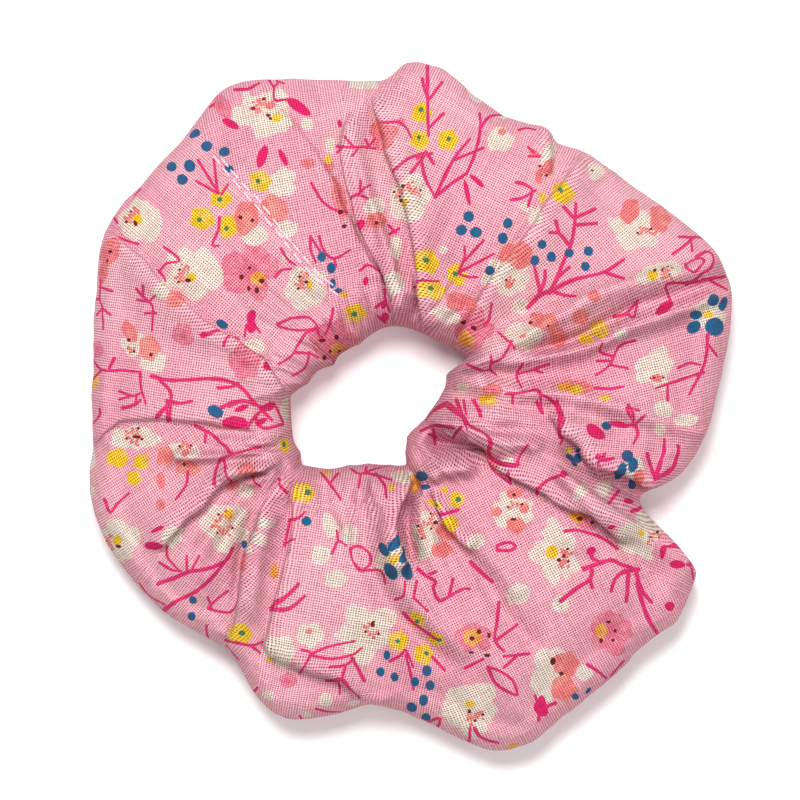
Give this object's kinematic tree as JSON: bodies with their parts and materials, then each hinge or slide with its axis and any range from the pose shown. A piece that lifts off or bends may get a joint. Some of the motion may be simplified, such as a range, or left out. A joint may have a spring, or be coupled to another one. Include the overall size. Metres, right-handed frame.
{
  "type": "scrunchie",
  "caption": "Ring-shaped gathered cloth hair scrunchie: a soft printed cotton tube over a hidden flat elastic loop, with a round opening for a ponytail.",
  "frame": {"origin": "centre of the opening for the hair, at the middle of the ring's height", "axes": "+Z along the axis of the opening, away from the face it rests on; +X the way the far half moves when the ring is stretched; the closing seam is in the half at -X and +Y"},
  "size_m": [0.1081, 0.1108, 0.0251],
  "materials": {
    "cover_cloth": "matte",
    "elastic": "matte",
    "join_thread": "satin",
    "seam_thread": "satin"
  },
  "bodies": {
    "seam_half": {"cover_seam_half": "cover_cloth", "elastic_band": "elastic", "elastic_join_stitches": "join_thread", "lengthwise_seam_thread": "seam_thread", "closing_topstitch_row_1": "seam_thread", "closing_topstitch_row_2": "seam_thread"},
    "far_half": {"cover_far_half": "cover_cloth"}
  },
  "joints": [
    {"name": "stretch", "type": "slide", "parent": "seam_half", "child": "far_half", "axis": [1, 0, 0], "range_m": [0, 0.055], "stiffness_N_per_m": 125, "deforming": ["elastic_band", "lengthwise_seam_thread"]}
  ]
}
